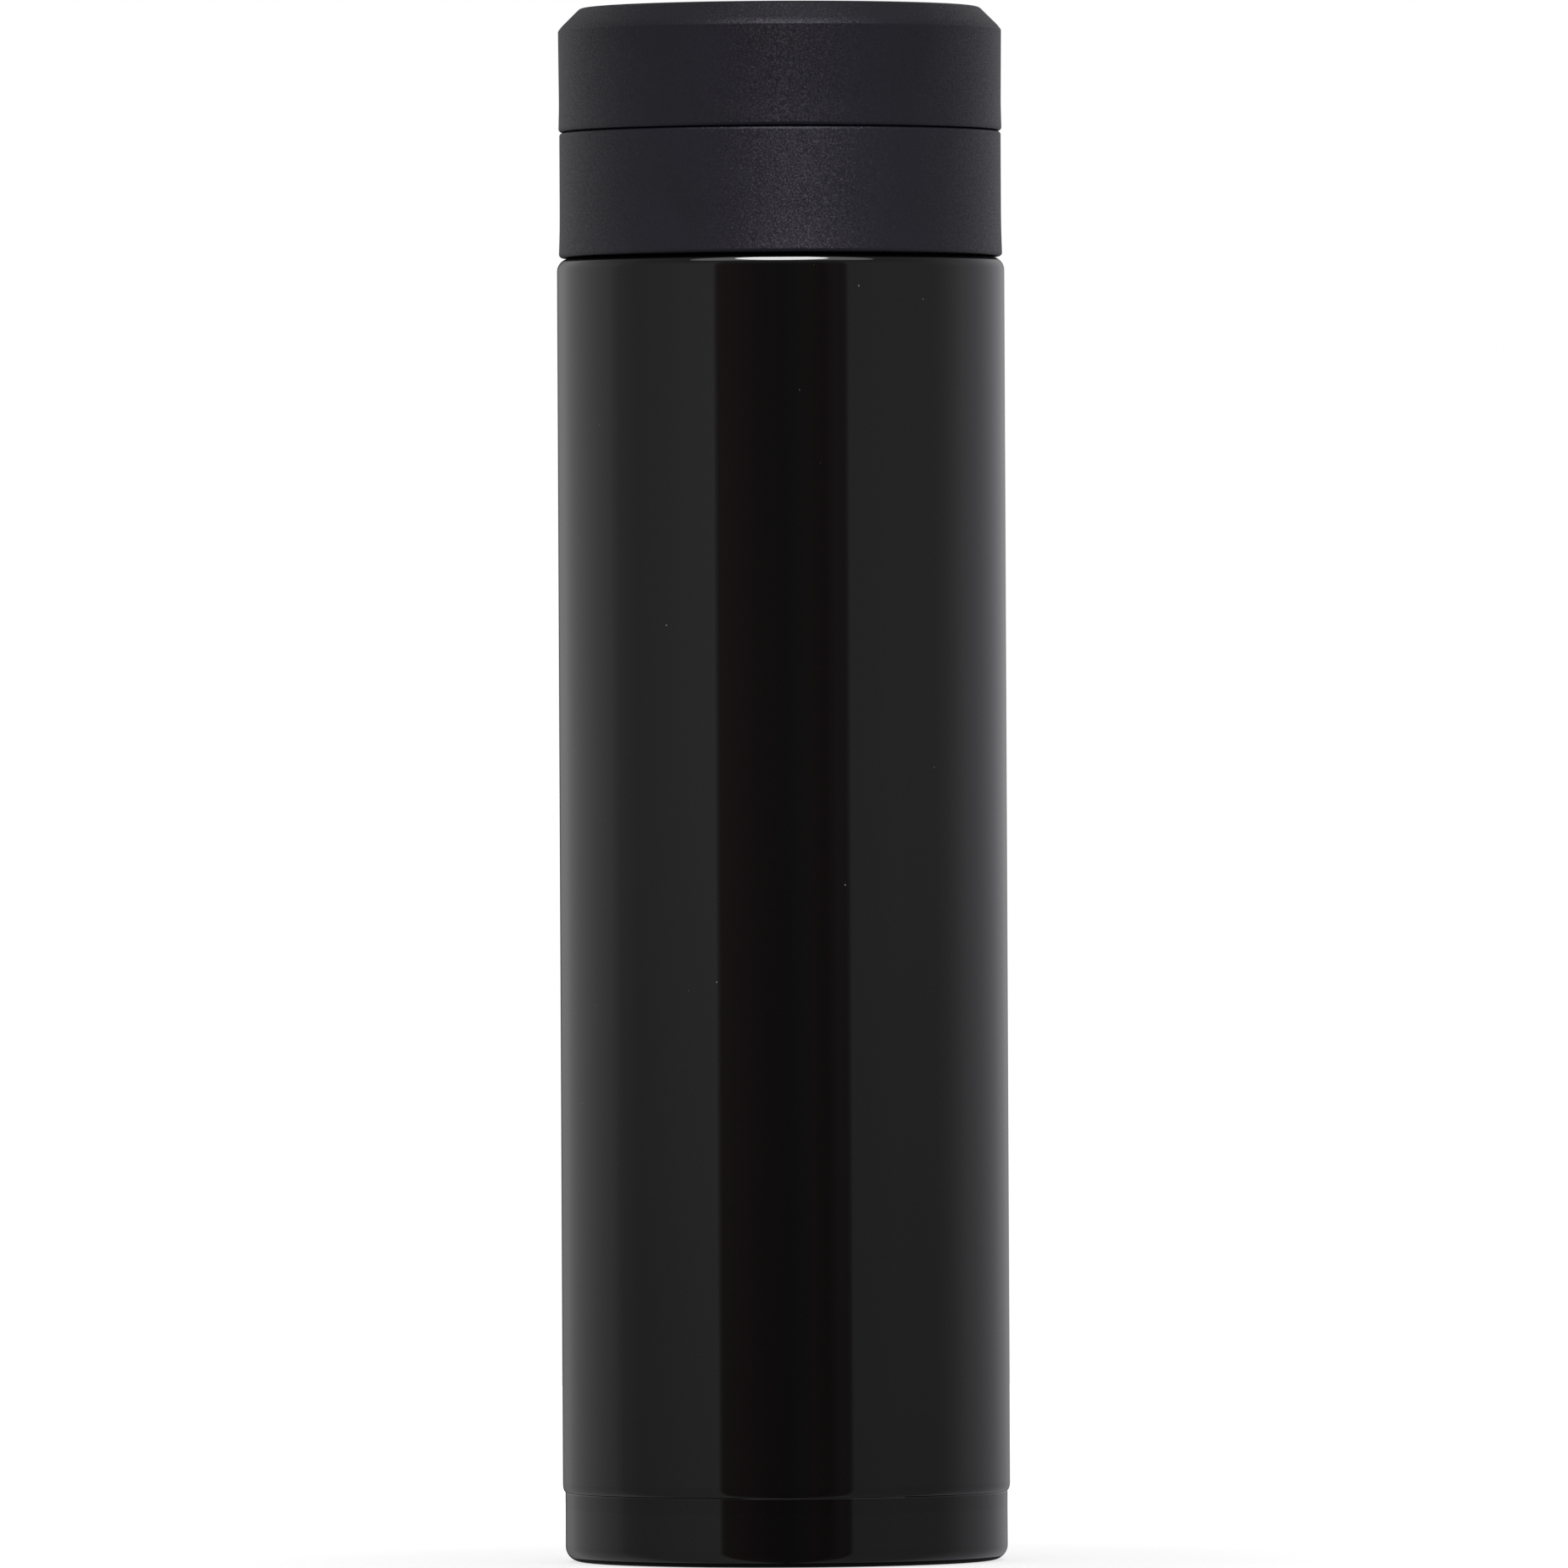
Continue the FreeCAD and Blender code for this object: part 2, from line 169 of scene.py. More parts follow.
def turnedPiece(name, path, closed, body, nodes, materials, threads=(), split=None):
    # the path (radius, height) carried once round Z on a grid: x = radius cos a, y = radius sin a,
    # z = height, with each thread's swell added to the radius of the rings on its walls. An end on the axis
    # is one point
    angle = np.arange(ringSteps) * 2 * math.pi / ringSteps
    radius = np.repeat(path[:, :1], ringSteps, axis=1)
    height = np.repeat(path[:, 1:], ringSteps, axis=1)
    for thread in threads:
        for wall in thread["walls"]:
            onWall = (np.abs(path[:, 0] - wall) < wallSlack)[:, None]
            radius += onWall * thread["depth"] * ridgeSwell(angle[None], height, thread)
    grid = np.stack([radius * np.cos(angle), radius * np.sin(angle), height], axis=2)
    bands = len(path) if closed else len(path) - 1
    row, column = np.meshgrid(np.arange(bands), np.arange(ringSteps), indexing="ij")
    nextRow = (row + 1) % len(path)
    nextColumn = (column + 1) % ringSteps
    corners = [row * ringSteps + column, row * ringSteps + nextColumn,
               nextRow * ringSteps + nextColumn, nextRow * ringSteps + column]
    quads = np.stack([corner.ravel() for corner in corners], axis=1)
    vertices = grid.reshape(-1, 3)
    faces = quads.tolist()
    if not closed:
        # the first and last rings shrink to a point each, and their quads to triangles
        first = np.stack([np.zeros(ringSteps, int), quads[:ringSteps, 2], quads[:ringSteps, 3]], axis=1)
        last = quads[-ringSteps:].copy()
        last = np.stack([last[:, 0], last[:, 1], np.full(ringSteps, len(vertices) - 1)], axis=1)
        shift = ringSteps - 1
        middle = quads[ringSteps:-ringSteps] - shift
        first[:, 1:] -= shift
        last -= shift
        last[:, 2] = len(vertices) - 2 * ringSteps + 1
        vertices = np.vstack([vertices[:1], vertices[ringSteps:-ringSteps], vertices[-1:]])
        faces = first.tolist() + middle.tolist() + last.tolist()
    faceMaterial = None
    if split is not None:
        faceMaterial = split(path)[row.ravel()].astype(np.int32)
    return addMesh(name, vertices, faces, body, nodes, materials, faceMaterial)


def linearColour(code):
    # sRGB to linear: a channel c becomes c / 12.92 up to 0.04045, and ((c + 0.055) / 1.055) ^ 2.4 above it
    channel = np.array([int(code[place:place + 2], 16) for place in (1, 3, 5)]) / 255
    linear = np.where(channel <= 0.04045, channel / 12.92, ((channel + 0.055) / 1.055) ** 2.4)
    return (*linear.tolist(), 1.0)


def addNode(tree, kind, inputs=None, stops=None, **settings):
    # one shader node: settings are its properties, inputs take a value or another node's output, and stops
    # are a ramp's (place, colour) pairs
    node = tree.nodes.new(kind)
    for name, value in settings.items():
        setattr(node, name, value)
    for name, value in (inputs or {}).items():
        if isinstance(value, bpy.types.NodeSocket):
            tree.links.new(value, node.inputs[name])
        else:
            node.inputs[name].default_value = value
    if stops:
        ramp = node.color_ramp.elements
        for place, colour in stops[2:]:
            ramp.new(place)
        for element, (place, colour) in zip(ramp, sorted(stops)):
            element.position = place
            element.color = colour
    return node


def newMaterial(name, **values):
    # a material with one Principled shader, whose plain values are set on its own sockets
    material = bpy.data.materials.new(name)
    material.use_nodes = True
    tree = material.node_tree
    shader = tree.nodes["Principled BSDF"]
    for socket, value in values.items():
        shader.inputs[socket.replace("_", " ")].default_value = value
    place = addNode(tree, "ShaderNodeTexCoord").outputs["Object"]
    return material, tree, shader, place


def perMm(size):
    # the texture scale, in cycles per metre, of a pattern that repeats about every size millimetres
    return 1 / (size * mm)


def stovedEnamel():
    # black stoving enamel sprayed on steel: a near mirror with a faint orange peel and a few dust nibs
    enamel = {"black": "#030303", "dust": "#8C877F", "peel": 2.2, "peelDepth": 0.0009, "sag": 26.0,
              "sagDepth": 0.012, "nibSpacing": 6.0, "nibSize": 0.14}
    material, tree, shader, place = newMaterial(
        "black stoved enamel", Base_Color=linearColour(enamel["black"]), Roughness=0.04, IOR=1.5)
    peel = addNode(tree, "ShaderNodeTexNoise", {
        "Vector": place, "Scale": perMm(enamel["peel"]), "Detail": 1.0})
    sag = addNode(tree, "ShaderNodeTexNoise", {
        "Vector": place, "Scale": perMm(enamel["sag"]), "Detail": 0.0})
    nib = addNode(tree, "ShaderNodeTexVoronoi", {"Vector": place, "Scale": perMm(enamel["nibSpacing"])})
    speck = addNode(tree, "ShaderNodeMapRange", {
        "Value": nib.outputs["Distance"], "From Min": 0.0,
        "From Max": enamel["nibSize"] / enamel["nibSpacing"], "To Min": 1.0, "To Max": 0.0})
    dust = addNode(tree, "ShaderNodeMix", {
        "Factor": speck.outputs["Result"], "A": linearColour(enamel["black"]),
        "B": linearColour(enamel["dust"])}, data_type="RGBA")
    wave = addNode(tree, "ShaderNodeBump", {
        "Height": sag.outputs["Fac"], "Distance": enamel["sagDepth"] * mm, "Strength": 1.0})
    skin = addNode(tree, "ShaderNodeBump", {
        "Height": peel.outputs["Fac"], "Distance": enamel["peelDepth"] * mm, "Strength": 1.0,
        "Normal": wave.outputs["Normal"]})
    tree.links.new(dust.outputs["Result"], shader.inputs["Base Color"])
    tree.links.new(skin.outputs["Normal"], shader.inputs["Normal"])
    return material


def sparkErodedPlastic():
    # black polypropylene moulded in a spark-eroded tool: matt and faintly blue, with a grain that sparkles
    # where it is lit from the front, since each pit leans its own way. The real grain is near 0.15 mm, and
    # it is drawn coarser so that it shows
    grain = {"size": 0.26, "lean": 0.62, "cloud": 9.0}
    material, tree, shader, place = newMaterial(
        "spark-eroded black polypropylene", Base_Color=linearColour("#0F0E18"), Roughness=0.46, IOR=1.44)
    pits = addNode(tree, "ShaderNodeTexNoise", {
        "Vector": place, "Scale": perMm(grain["size"]), "Detail": 1.0, "Roughness": 0.6})
    cloud = addNode(tree, "ShaderNodeTexNoise", {
        "Vector": place, "Scale": perMm(grain["cloud"]), "Detail": 3.0})
    shade = addNode(tree, "ShaderNodeValToRGB", {"Fac": cloud.outputs["Fac"]}, stops=[
        (0.35, linearColour("#0E0D16")), (0.65, linearColour("#11101A"))])
    lean = addNode(tree, "ShaderNodeVectorMath", {
        0: pits.outputs["Color"], 1: (0.5, 0.5, 0.5)}, operation="SUBTRACT")
    facing = addNode(tree, "ShaderNodeVectorMath", {
        0: lean.outputs["Vector"], 1: (grain["lean"],) * 3,
        2: addNode(tree, "ShaderNodeNewGeometry").outputs["Normal"]}, operation="MULTIPLY_ADD")
    skin = addNode(tree, "ShaderNodeVectorMath", {0: facing.outputs["Vector"]}, operation="NORMALIZE")
    tree.links.new(shade.outputs["Color"], shader.inputs["Base Color"])
    tree.links.new(skin.outputs["Vector"], shader.inputs["Normal"])
    return material


def satinPlastic():
    # black polypropylene from a polished tool: satin, with faint flow marks round the gate
    flow = {"mark": 6.0, "depth": 0.003}
    material, tree, shader, place = newMaterial(
        "satin black polypropylene", Base_Color=linearColour("#161617"), Roughness=0.3, IOR=1.49)
    marks = addNode(tree, "ShaderNodeTexNoise", {
        "Vector": place, "Scale": perMm(flow["mark"]), "Detail": 3.0})
    gloss = addNode(tree, "ShaderNodeMapRange", {
        "Value": marks.outputs["Fac"], "From Min": 0.3, "From Max": 0.7, "To Min": 0.25, "To Max": 0.36})
    shade = addNode(tree, "ShaderNodeValToRGB", {"Fac": marks.outputs["Fac"]}, stops=[
        (0.3, linearColour("#141415")), (0.7, linearColour("#19191A"))])
    skin = addNode(tree, "ShaderNodeBump", {
        "Height": marks.outputs["Fac"], "Distance": flow["depth"] * mm, "Strength": 1.0})
    tree.links.new(shade.outputs["Color"], shader.inputs["Base Color"])
    tree.links.new(gloss.outputs["Result"], shader.inputs["Roughness"])
    tree.links.new(skin.outputs["Normal"], shader.inputs["Normal"])
    return material


def brightSteel():
    # 18-8 stainless, drawn and electropolished: bright, softly streaked round the wall by the drawing
    drawn = {"streak": 0.5, "depth": 0.0012, "stretch": 0.04}
    material, tree, shader, place = newMaterial(
        "electropolished stainless steel", Base_Color=linearColour("#C9C7C3"), Metallic=1.0, Roughness=0.2)
    turned = addNode(tree, "ShaderNodeMapping", {
        "Vector": place, "Scale": (drawn["stretch"], drawn["stretch"], 1.0)})
    streak = addNode(tree, "ShaderNodeTexNoise", {
        "Vector": turned.outputs["Vector"], "Scale": perMm(drawn["streak"]), "Detail": 2.0})
    tone = addNode(tree, "ShaderNodeValToRGB", {"Fac": streak.outputs["Fac"]}, stops=[
        (0.3, linearColour("#BDBBB7")), (0.7, linearColour("#D2D0CC"))])
    gloss = addNode(tree, "ShaderNodeMapRange", {
        "Value": streak.outputs["Fac"], "From Min": 0.3, "From Max": 0.7, "To Min": 0.15, "To Max": 0.27})
    skin = addNode(tree, "ShaderNodeBump", {
        "Height": streak.outputs["Fac"], "Distance": drawn["depth"] * mm, "Strength": 1.0})
    tree.links.new(tone.outputs["Color"], shader.inputs["Base Color"])
    tree.links.new(gloss.outputs["Result"], shader.inputs["Roughness"])
    tree.links.new(skin.outputs["Normal"], shader.inputs["Normal"])
    return material


def mouldedSilicone():
    # pale grey silicone, compression moulded: translucent at its edges, with a dry matt skin
    rubber = {"skin": 0.8, "depth": 0.004}
    material, tree, shader, place = newMaterial(
        "moulded grey silicone", Base_Color=linearColour("#B9BAB8"), Roughness=0.5, IOR=1.41,
        Subsurface_Weight=0.15, Subsurface_Scale=0.001)
    skinNoise = addNode(tree, "ShaderNodeTexNoise", {
        "Vector": place, "Scale": perMm(rubber["skin"]), "Detail": 2.0})
    tone = addNode(tree, "ShaderNodeValToRGB", {"Fac": skinNoise.outputs["Fac"]}, stops=[
        (0.3, linearColour("#B2B3B1")), (0.7, linearColour("#C0C1BF"))])
    skin = addNode(tree, "ShaderNodeBump", {
        "Height": skinNoise.outputs["Fac"], "Distance": rubber["depth"] * mm, "Strength": 1.0})
    tree.links.new(tone.outputs["Color"], shader.inputs["Base Color"])
    tree.links.new(skin.outputs["Normal"], shader.inputs["Normal"])
    return material


def beadFoam():
    # expanded polystyrene: white beads pressed together, each a little darker towards its rim, painted shade
    # in the grooves between beads
    bead = {"size": 2.6, "depth": 0.12}
    material, tree, shader, place = newMaterial(
        "expanded polystyrene", Base_Color=linearColour("#EFEFEA"), Roughness=0.75, IOR=1.45)
    cells = addNode(tree, "ShaderNodeTexVoronoi", {"Vector": place, "Scale": perMm(bead["size"])})
    # painted shade: the tone darkens with the cell distance, where the bump below sinks the grooves between
    # beads
    tone = addNode(tree, "ShaderNodeValToRGB", {"Fac": cells.outputs["Distance"]}, stops=[
        (0.3, linearColour("#F2F2EE")), (0.75, linearColour("#D9D9D3"))])
    skin = addNode(tree, "ShaderNodeBump", {
        "Height": cells.outputs["Distance"], "Distance": bead["depth"] * mm, "Strength": 1.0}, invert=True)
    tree.links.new(tone.outputs["Color"], shader.inputs["Base Color"])
    tree.links.new(skin.outputs["Normal"], shader.inputs["Normal"])
    return material


def workedMetal(name, darkTone, lightTone, size, depth, roughness):
    # a bare metal whose tone and skin follow one noise, for foil, braze and sintered powder alike: lighter
    # where the skin is raised and darker in its hollows, a painted highlight and painted shade
    material, tree, shader, place = newMaterial(name, Metallic=1.0, Roughness=roughness)
    skinNoise = addNode(tree, "ShaderNodeTexNoise", {"Vector": place, "Scale": perMm(size), "Detail": 3.0})
    # painted highlight and shade: the tone rises with the same noise that raises the skin
    tone = addNode(tree, "ShaderNodeValToRGB", {"Fac": skinNoise.outputs["Fac"]}, stops=[
        (0.3, linearColour(darkTone)), (0.7, linearColour(lightTone))])
    skin = addNode(tree, "ShaderNodeBump", {
        "Height": skinNoise.outputs["Fac"], "Distance": depth * mm, "Strength": 1.0})
    tree.links.new(tone.outputs["Color"], shader.inputs["Base Color"])
    tree.links.new(skin.outputs["Normal"], shader.inputs["Normal"])
    return material


enamel = stovedEnamel()
grained = sparkErodedPlastic()
satin = satinPlastic()
steel = brightSteel()
silicone = mouldedSilicone()
foam = beadFoam()
# foil crinkled by the wrapping: warm, with the raised parts of its broad creases painted brighter, a painted
# highlight
copper = workedMetal("rolled copper foil", "#B87350", "#D68A62", size=7.0, depth=0.10, roughness=0.3)
# braze run in and left to freeze: pale gold and a little rippled
braze = workedMetal("silver braze", "#B79A5B", "#CDB272", size=0.9, depth=0.03, roughness=0.35)
# pressed and sintered powder: dull grey and finely pitted
sintered = workedMetal("sintered getter alloy", "#4A4846", "#6A6764", size=0.3, depth=0.03, roughness=0.65)
print("materials ready")


def bodyShell():
    # drawn steel wall: its foot turned in on a quarter ellipse (radius - in * (1 - sin t), foot + rise *
    # (1 - cos t)), then a filleted shoulder and a neck with its thread rolled through the wall
    body = {"wall": 0.4, "footIn": 0.45, "footRise": 1.25, "footRings": 15, "fillet": 1.9, "neckBend": 0.8,
            "seam": 0.08, "neckRadius": 27.1, "paintOver": 0.3}
    shoulder = collarBottom - body["seam"]
    thread = {"walls": (body["neckRadius"], body["neckRadius"] - body["wall"]), "starts": 1, "angle": 20.0,
              "low": neckTop - 7.65, "lead": 4.0, "turns": 1.5125, "base": 1.7, "crest": 0.9, "depth": 0.8,
              "runOut": 0.09}
    outside = [(bodyRadius, bodyFoot + body["footRise"]), (bodyRadius, shoulder, body["fillet"]),
               (body["neckRadius"], shoulder, body["neckBend"]), (body["neckRadius"], neckTop)]
    inside = offsetCorners(outside, body["wall"])[::-1]
    sweep = np.linspace(0, math.pi / 2, body["footRings"] + 1)[:-1]
    foot = np.stack([bodyRadius - body["footIn"] * (1 - np.sin(sweep)),
                     bodyFoot + body["footRise"] * (1 - np.cos(sweep))], axis=1)
    guard = np.array([[0, guardStep]])
    wall = roundedPath([*outside, *inside], closed=False)
    path = np.vstack([foot, wall[:1], wall[:1] + guard, wall[1:-1], wall[-1:] + guard, wall[-1:],
                      foot[::-1] - [body["wall"], 0]])
    for radius in thread["walls"]:
        path = threadedPath(path, radius)

    def bareNeck(path):
        # enamel on the outside as far as the foot of the neck, bare steel from there on and inside
        bare = int(np.argmax(path[:, 0] < body["neckRadius"] + body["neckBend"] + body["paintOver"]))
        return np.arange(len(path)) >= bare

    return turnedPiece("body_shell", path, True, "flask", ["outer_shell"], [enamel, steel],
                       threads=[thread], split=bareNeck)


def baseCup():
    # pressed foot under the body: a rounded heel, a shallow recess below and a lip sprayed over at the seam
    cup = {"wall": 0.5, "rim": 6.7, "recess": 1.2, "recessBend": 0.8, "heel": 2.2, "seamEdge": 0.3,
           "seamOver": 0.09, "seamSlope": 0.02, "neckRadius": 31.66, "neckBend": 0.1, "flare": 0.02,
           "flareHeight": 2.5, "insideBend": 0.3}
    inner = cupRadius - cup["rim"]
    seam = bodyFoot + cup["seamOver"]
    outside = [(0, cup["recess"]), (inner, cup["recess"], cup["recessBend"]),
               (inner + cup["recess"], floorLevel, cup["recessBend"]), (cupRadius, floorLevel, cup["heel"]),
               (cupRadius, seam - cup["flareHeight"], 0),
               (cupRadius + cup["flare"], seam, cup["seamEdge"]),
               (cup["neckRadius"], seam + cup["seamSlope"], cup["neckBend"]),
               (cup["neckRadius"], cupTop)]
    inside = offsetCorners(outside, cup["wall"])[::-1]
    inside[1] = (*inside[1][:2], cup["insideBend"])     # the step there is too narrow for a concentric bend
    inside[-1] = (0, cup["recess"] + cup["wall"], 0)
    path = roundedPath([*outside, *inside], closed=False)
    return turnedPiece("base_cup_finished", path, False, "flask", ["base_cup"], [enamel])


def innerVessel():
    # inner wall, necked in and turned out over the neck's top, where it is welded
    vessel = {"wall": 0.3, "neckRadius": 25.9, "rimRadius": 27.1, "bend": 3.0, "mouthBend": 0.3,
              "shoulderDrop": 2.55, "fall": 5.3}
    shoulder = collarBottom - vessel["shoulderDrop"]
    outside = [(vesselRadius, vesselSeam), (vesselRadius, shoulder - vessel["fall"], vessel["bend"]),
               (vessel["neckRadius"], shoulder, vessel["bend"]),
               (vessel["neckRadius"], rimHeight - vessel["wall"], vessel["mouthBend"]),
               (vessel["rimRadius"], rimHeight - vessel["wall"])]
    inside = offsetCorners(outside, vessel["wall"])[::-1]
    path = roundedPath([*outside, *inside], closed=True)
    return turnedPiece("vessel_wall", path, True, "flask", ["inner_vessel"], [steel])


def innerBottom():
    # domed floor of the vessel, butt welded to its wall
    floor = {"wall": 0.3, "dome": 1.2, "foot": 20.0, "slope": 6.0, "bend": 6.0, "corner": 5.0}
    radius, bottom, top = reach("inner_bottom")
    outside = [(0, bottom + floor["dome"]),
               (floor["foot"] - floor["slope"], bottom + floor["dome"], floor["bend"]),
               (floor["foot"], bottom, floor["bend"]), (radius, bottom, floor["corner"]), (radius, top)]
    inside = offsetCorners(outside, floor["wall"])[::-1]
    inside[-1] = (0, bottom + floor["dome"] + floor["wall"], 0)
    path = roundedPath([*outside, *inside], closed=False)
    return turnedPiece("vessel_floor", path, False, "flask", ["inner_bottom"], [steel])


bodyPiece = bodyShell()
cupPiece = baseCup()
innerVessel()
innerBottom()


def drinkingSpout():
    # screw-on spout: a skirt round the steel neck, and a tube with a rounded lip and two thread starts
    spout = {"bore": 22.4, "wall": 2.5, "mouthStep": 0.3, "mouthDepth": 5.1, "skirtWall": 1.8, "roof": 1.8,
             "edge": 0.3, "lipOuter": 1.1, "lipInner": 0.8}
    edge = spout["edge"]
    tube = spout["bore"] + spout["wall"]
    mouth = tube - spout["mouthStep"]
    skirtBore = skirtRadius - spout["skirtWall"]
    bottom = rimHeight - spout["mouthDepth"]
    roofTop = collarSealTop + spout["roof"]
    neckThread = {"walls": (skirtBore,), "starts": 1, "angle": 20.0, "low": skirtBottom + 1.85, "lead": 4.0,
                  "turns": 1.5125, "base": 1.7, "crest": 0.9, "depth": -0.8, "runOut": 0.05}
    capThread = {"walls": (tube,), "starts": 2, "angle": 65.0, "low": lipHeight - 7.5, "lead": 8.0,
                 "turns": 0.6875, "base": 1.5, "crest": 0.8, "depth": 0.8, "runOut": 0.05}
    path = roundedPath([
        (spout["bore"], bottom, edge), (mouth, bottom, edge), (mouth, collarSealTop),
        (skirtBore, collarSealTop), (skirtBore, skirtBottom, edge), (skirtRadius, skirtBottom, edge),
        (skirtRadius, roofTop, edge), (tube, roofTop), (tube, lipHeight, spout["lipOuter"]),
        (spout["bore"], lipHeight, spout["lipInner"])], closed=True)
    path = threadedPath(path, skirtBore)
    path = threadedPath(path, tube)
    return turnedPiece("drinking_spout", path, True, "collar", ["spout"], [satin],
                       threads=[neckThread, capThread])


def collarBand():
    # grained ring round the skirt, a hair wider at its lower edge
    band = {"inside": 30.1, "hole": 25.2, "roof": 2.4, "flare": 0.15, "flareHeight": 4.0, "flareBend": 130.0,
            "lowerEdge": 0.55, "seamEdge": 0.45, "seamRise": 0.08, "edge": 0.3}
    radius = flareRadius - band["flare"]
    top = collarTop + band["seamRise"]
    path = roundedPath([
        (band["inside"], collarBottom, band["edge"]), (flareRadius, collarBottom, band["lowerEdge"]),
        (radius, collarBottom + band["flareHeight"], band["flareBend"]), (radius, top, band["seamEdge"]),
        (band["hole"], top, band["edge"]), (band["hole"], collarTop - band["roof"]),
        (band["inside"], collarTop - band["roof"])], closed=True)
    return turnedPiece("collar_ring", path, True, "collar", ["collar_band"], [grained])


def sealRing(name, node, body, leg, flange):
    # an L-section seal: leg gives the inner and outer radius of its leg in the bore, and flange the
    # thickness of the ring above it
    seal = {"edge": 0.25, "corner": 0.1}
    edge = seal["edge"]
    radius, bottom, top = reach(node)
    inner, outer = leg
    path = roundedPath([
        (inner, bottom, edge), (outer, bottom, edge), (outer, top - flange, seal["corner"]),
        (radius, top - flange, edge), (radius, top, edge), (inner, top, edge)], closed=True)
    return turnedPiece(name, path, True, body, [node], [silicone])


drinkingSpout()
collarPiece = collarBand()
sealRing("collar_seal_ring", "collar_gasket", "collar_seal", leg=(24.7, 25.5), flange=1.6)


def capCover():
    # outer cover: a grained side, a broad chamfer that eases over towards its lower edge, and a flat top
    cover = {"wall": 2.0, "chamferIn": 3.2, "chamferDown": 3.35, "easeIn": 0.47, "easeDown": 2.7,
             "easeBend": 4.0, "lowerEdge": 0.35, "upperEdge": 1.0, "seamEdge": 0.5, "waist": 0.09,
             "waistHeight": 3.8, "waistBend": 50.0}
    side = [(capRadius, capBottom, cover["seamEdge"]),
            (capRadius - cover["waist"], capBottom + cover["waistHeight"], cover["waistBend"]),
            (capRadius, capTop - cover["chamferDown"], cover["lowerEdge"])]
    ease = [(capRadius - cover["easeIn"], capTop - cover["easeDown"], cover["easeBend"])]
    crown = [(capRadius - cover["chamferIn"], capTop, cover["upperEdge"]), (0, capTop)]
    inside = offsetCorners([*side, *crown], cover["wall"])[::-1]
    path = roundedPath([*inside, *side, *ease, *crown], closed=False)
    return turnedPiece("cap_cover", path, False, "cap", ["cap_shell"], [grained])


def capLiner():
    # threaded skirt, hollow plug and weld flange in one moulding
    liner = {"bore": 26.0, "radius": 27.8, "wall": 1.6, "plug": 21.6, "plugDepth": 4.5, "plugEdge": 1.2,
             "flange": 1.5, "edge": 0.3}
    edge = liner["edge"]
    wall = liner["wall"]
    plugBottom = lipHeight - liner["plugDepth"]
    flangeTop = linerBottom + liner["flange"]
    thread = {"walls": (liner["bore"],), "starts": 2, "angle": 65.0, "low": linerBottom + 1.05, "lead": 8.0,
              "turns": 0.6875, "base": 1.5, "crest": 0.8, "depth": -0.8, "runOut": 0.05}
    path = roundedPath([
        (0, plugBottom), (liner["plug"], plugBottom, liner["plugEdge"]), (liner["plug"], capSealTop, edge),
        (liner["bore"], capSealTop, edge), (liner["bore"], linerBottom, edge),
        (linerFlange, linerBottom, edge), (linerFlange, flangeTop, edge), (liner["radius"], flangeTop, edge),
        (liner["radius"], capInside), (liner["radius"] - wall, capInside),
        (liner["radius"] - wall, capSealTop + wall, edge), (liner["plug"] - wall, capSealTop + wall, edge),
        (liner["plug"] - wall, plugBottom + wall, edge), (0, plugBottom + wall)], closed=False)
    path = threadedPath(path, liner["bore"])
    return turnedPiece("cap_inner_liner", path, False, "cap", ["cap_liner"], [satin],
                       threads=[thread])


capPiece = capCover()
capLiner()
sealRing("cap_seal_ring", "cap_gasket", "cap_seal", leg=(21.7, 22.3), flange=1.5)

# the sealed pieces stay as they are packed, with their own finishes
finishes = {
    "outer_bottom": steel, "sealing_bead": braze, "copper_foil": copper, "getter": sintered,
    "getter_clip": steel, "cap_foam": foam,
}
for node, finish in finishes.items():
    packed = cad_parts[node]
    packed.data.materials.clear()
    packed.data.materials.append(finish)
print("sealed pieces finished")


def stageDisc(name, radius, drop, material):
    # a level disc, drop below the floor level: its rim is at (radius cos a, radius sin a), a in equal steps
    angle = np.arange(discSteps) * 2 * math.pi / discSteps
    height = np.full(discSteps, floorLevel - drop)
    rim = np.stack([np.cos(angle) * radius, np.sin(angle) * radius, height], axis=1)
    mesh = bpy.data.meshes.new(name)
    mesh.from_pydata((rim * mm).tolist(), [], [list(range(discSteps))])
    mesh.materials.append(material)
    disc = bpy.data.objects.new(name, mesh)
    bpy.context.scene.collection.objects.link(disc)
    return disc


